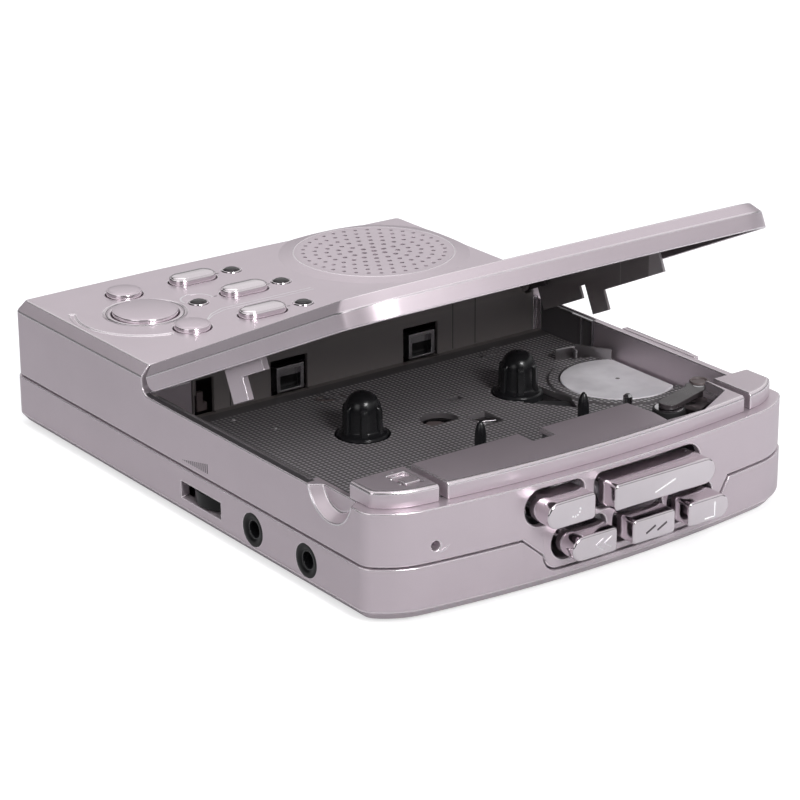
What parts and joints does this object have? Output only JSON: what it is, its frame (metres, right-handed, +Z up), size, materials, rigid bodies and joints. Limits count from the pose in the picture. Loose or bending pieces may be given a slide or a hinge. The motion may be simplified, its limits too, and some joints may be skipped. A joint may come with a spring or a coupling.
{
  "type": "flat cassette recorder",
  "caption": "Flat desktop cassette recorder with a raised bow-fronted lid over an open deck, chromed front keys, a button panel and a round speaker grille.",
  "frame": {"origin": "middle of the underside of the whole object with its lid raised, on the plane of the feet", "axes": "+Z up, +Y from the keys at the front to the speaker panel at the back, +X to the right"},
  "size_m": [0.1124, 0.1536, 0.0676],
  "materials": {
    "silver_plastic": "fine metallic silver paint with a warm mauve cast",
    "dark_plastic": "dark grey, finely textured",
    "black_plastic": "black, satin",
    "chromed_plastic": "bright plating over plastic",
    "sprung_steel": "bright strip",
    "steel": "plain zinc plating",
    "flywheel_metal": "turned",
    "motor_can": "satin silver",
    "brass": "turned",
    "belt_rubber": "matt black",
    "brown_plastic": "brown grey",
    "lens_plastic": "dark tinted",
    "board_green": "glass-filled board",
    "speaker_frame": "black",
    "paper_cone": "pressed paper"
  },
  "bodies": {
    "case": {"top_case": "silver_plastic", "bottom_case": "silver_plastic", "rubber_feet": "belt_rubber", "case_screws": "steel", "battery_bay": "dark_plastic", "battery_contacts": "sprung_steel", "deck_tray": "dark_plastic", "chassis_plate": "steel", "guide_pins": "black_plastic", "motor": "motor_can", "drive_belt": "belt_rubber", "key_rail": "steel", "leaf_springs": "sprung_steel", "head_cover": "silver_plastic", "left_corner_block": "silver_plastic", "right_corner_block": "silver_plastic", "hinge_pins": "steel", "lamp_lenses": "lens_plastic", "circuit_board": "board_green", "board_switches": "black_plastic", "side_board": "board_green", "speaker_grille": "silver_plastic", "speaker_driver": "speaker_frame", "speaker_cone": "paper_cone", "volume_control": "steel", "rear_jack": "black_plastic", "front_jack": "black_plastic", "microphone": "motor_can", "slider_track": "dark_plastic"},
    "lid": {"lid_shell": "silver_plastic", "lid_liner": "dark_plastic", "left_arm": "silver_plastic", "right_arm": "dark_plastic", "hinge_ears": "dark_plastic"},
    "left_spindle": {"left_spindle": "black_plastic"},
    "right_spindle": {"right_spindle": "black_plastic"},
    "idler": {"idler_wheel": "brown_plastic"},
    "capstan": {"capstan": "steel", "flywheel": "flywheel_metal"},
    "pulley": {"motor_pulley": "brass"},
    "pinch_arm": {"pinch_arm": "brown_plastic"},
    "pinch_roller": {"pinch_roller": "belt_rubber"},
    "head_carriage": {"head_carriage": "steel", "play_head": "steel", "erase_head": "steel"},
    "battery_door": {"battery_door": "silver_plastic"},
    "volume_wheel": {"volume_wheel": "black_plastic"},
    "corner_switch": {"corner_switch": "chromed_plastic"},
    "side_slider": {"side_slider": "chromed_plastic"},
    "record_key": {"record_key": "chromed_plastic"},
    "play_key": {"play_key": "chromed_plastic"},
    "rewind_key": {"rewind_key": "chromed_plastic"},
    "forward_key": {"forward_key": "chromed_plastic"},
    "stop_key": {"stop_key": "chromed_plastic"},
    "dial_button": {"dial_button": "silver_plastic"},
    "rear_button": {"rear_button": "silver_plastic"},
    "front_button": {"front_button": "silver_plastic"},
    "rear_pill": {"rear_pill": "chromed_plastic"},
    "middle_pill": {"middle_pill": "chromed_plastic"},
    "front_pill": {"front_pill": "chromed_plastic"}
  },
  "joints": [
    {"name": "lid_hinge", "type": "hinge", "parent": "case", "child": "lid", "pos_m": [0, 0.01848, 0.02804], "axis": [-1, 0, 0], "range_deg": [-25.2, 0]},
    {"name": "left_spindle_spin", "type": "hinge", "parent": "case", "child": "left_spindle", "pos_m": [-0.0203, -0.01265, 0.0162], "axis": [0, 0, 1], "continuous": true},
    {"name": "right_spindle_spin", "type": "hinge", "parent": "case", "child": "right_spindle", "pos_m": [0.0222, -0.01265, 0.0162], "axis": [0, 0, 1], "continuous": true},
    {"name": "idler_spin", "type": "hinge", "parent": "case", "child": "idler", "pos_m": [-0.00205, -0.02165, 0.0126], "axis": [0, 0, 1], "continuous": true},
    {"name": "capstan_spin", "type": "hinge", "parent": "case", "child": "capstan", "pos_m": [0.02675, -0.04455, 0.0162], "axis": [0, 0, 1], "continuous": true},
    {"name": "pulley_spin", "type": "hinge", "parent": "case", "child": "pulley", "pos_m": [0.04435, -0.02075, 0.0067], "axis": [0, 0, 1], "continuous": true},
    {"name": "pinch_arm_swing", "type": "hinge", "parent": "case", "child": "pinch_arm", "pos_m": [0.04245, -0.04965, 0.0212], "axis": [0, 0, 1], "range_deg": [-26.4, 0]},
    {"name": "pinch_roller_spin", "type": "hinge", "parent": "pinch_arm", "child": "pinch_roller", "pos_m": [0.03078, -0.05322, 0.0212], "axis": [0, 0, 1], "continuous": true},
    {"name": "head_carriage_slide", "type": "slide", "parent": "case", "child": "head_carriage", "axis": [0, 1, 0], "range_m": [0, 0.0077]},
    {"name": "record_key_press", "type": "slide", "parent": "case", "child": "record_key", "axis": [0, 1, 0], "range_m": [0, 0.0045], "stiffness_N_per_m": 200, "springref_m": -0.003},
    {"name": "play_key_press", "type": "slide", "parent": "case", "child": "play_key", "axis": [0, 1, 0], "range_m": [0, 0.0045], "stiffness_N_per_m": 200, "springref_m": -0.003},
    {"name": "rewind_key_press", "type": "slide", "parent": "case", "child": "rewind_key", "axis": [0, 1, 0], "range_m": [0, 0.0045], "stiffness_N_per_m": 200, "springref_m": -0.003},
    {"name": "forward_key_press", "type": "slide", "parent": "case", "child": "forward_key", "axis": [0, 1, 0], "range_m": [0, 0.0045], "stiffness_N_per_m": 200, "springref_m": -0.003},
    {"name": "stop_key_press", "type": "slide", "parent": "case", "child": "stop_key", "axis": [0, 1, 0], "range_m": [0, 0.0045], "stiffness_N_per_m": 200, "springref_m": -0.003},
    {"name": "dial_button_press", "type": "slide", "parent": "case", "child": "dial_button", "axis": [0, 0, -1], "range_m": [0, 0.0005], "stiffness_N_per_m": 400, "springref_m": -0.0005},
    {"name": "rear_button_press", "type": "slide", "parent": "case", "child": "rear_button", "axis": [0, 0, -1], "range_m": [0, 0.0005], "stiffness_N_per_m": 400, "springref_m": -0.0005},
    {"name": "front_button_press", "type": "slide", "parent": "case", "child": "front_button", "axis": [0, 0, -1], "range_m": [0, 0.0005], "stiffness_N_per_m": 400, "springref_m": -0.0005},
    {"name": "rear_pill_press", "type": "slide", "parent": "case", "child": "rear_pill", "axis": [0, 0, -1], "range_m": [0, 0.0005], "stiffness_N_per_m": 400, "springref_m": -0.0005},
    {"name": "middle_pill_press", "type": "slide", "parent": "case", "child": "middle_pill", "axis": [0, 0, -1], "range_m": [0, 0.0005], "stiffness_N_per_m": 400, "springref_m": -0.0005},
    {"name": "front_pill_press", "type": "slide", "parent": "case", "child": "front_pill", "axis": [0, 0, -1], "range_m": [0, 0.0005], "stiffness_N_per_m": 400, "springref_m": -0.0005},
    {"name": "volume_turn", "type": "hinge", "parent": "case", "child": "volume_wheel", "pos_m": [-0.0481, -0.00395, 0.0069], "axis": [0, 0, 1], "range_deg": [-135, 135]},
    {"name": "corner_switch_slide", "type": "slide", "parent": "case", "child": "corner_switch", "axis": [0, 1, 0], "range_m": [0, 0.0025]},
    {"name": "side_slider_slide", "type": "slide", "parent": "case", "child": "side_slider", "axis": [0, 1, 0], "range_m": [0, 0.0034]},
    {"name": "battery_door_slide", "type": "slide", "parent": "case", "child": "battery_door", "axis": [0, 1, 0], "range_m": [0, 0.044]}
  ],
  "couplings": [
    {"joint": "pulley_spin", "follows": "capstan_spin", "ratio": 4.2188},
    {"joint": "head_carriage_slide", "follows": "play_key_press", "ratio": 1.7},
    {"joint": "pinch_arm_swing", "follows": "play_key_press", "rad_per_m": -102}
  ]
}
